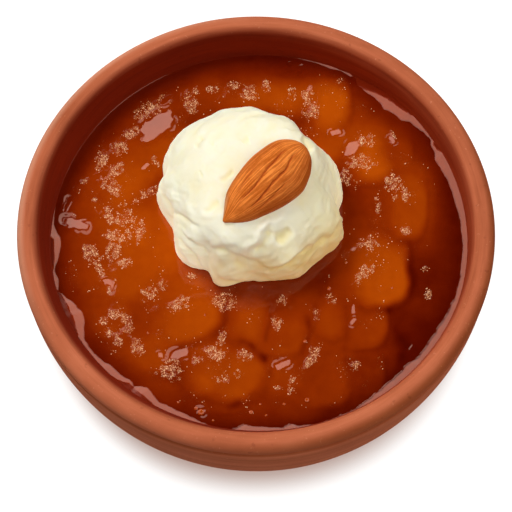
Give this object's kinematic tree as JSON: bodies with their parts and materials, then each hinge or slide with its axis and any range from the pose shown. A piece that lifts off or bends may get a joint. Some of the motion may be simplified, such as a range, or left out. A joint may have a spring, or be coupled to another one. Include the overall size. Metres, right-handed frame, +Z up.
{
  "type": "khubani ka meetha in a terracotta bowl",
  "caption": "Apricots stewed in syrup, filling a round terracotta bowl with a rounded lip, topped with a scoop of cream and a whole almond.",
  "frame": {"origin": "middle of the bowl's flat base, on the surface it stands on", "axes": "+Z up, -Y towards the front, where the picture was taken from, +X to the right"},
  "size_m": [0.11, 0.11, 0.0558],
  "materials": {
    "terracotta": "smooth unglazed fired clay",
    "apricots_in_syrup": "wet and glossy",
    "cream": "soft satin",
    "almond_skin": "matt, ridged skin"
  },
  "bodies": {
    "root": {"bowl": "terracotta", "stewed_apricots": "apricots_in_syrup", "cream_scoop": "cream", "almond": "almond_skin"}
  },
  "joints": []
}
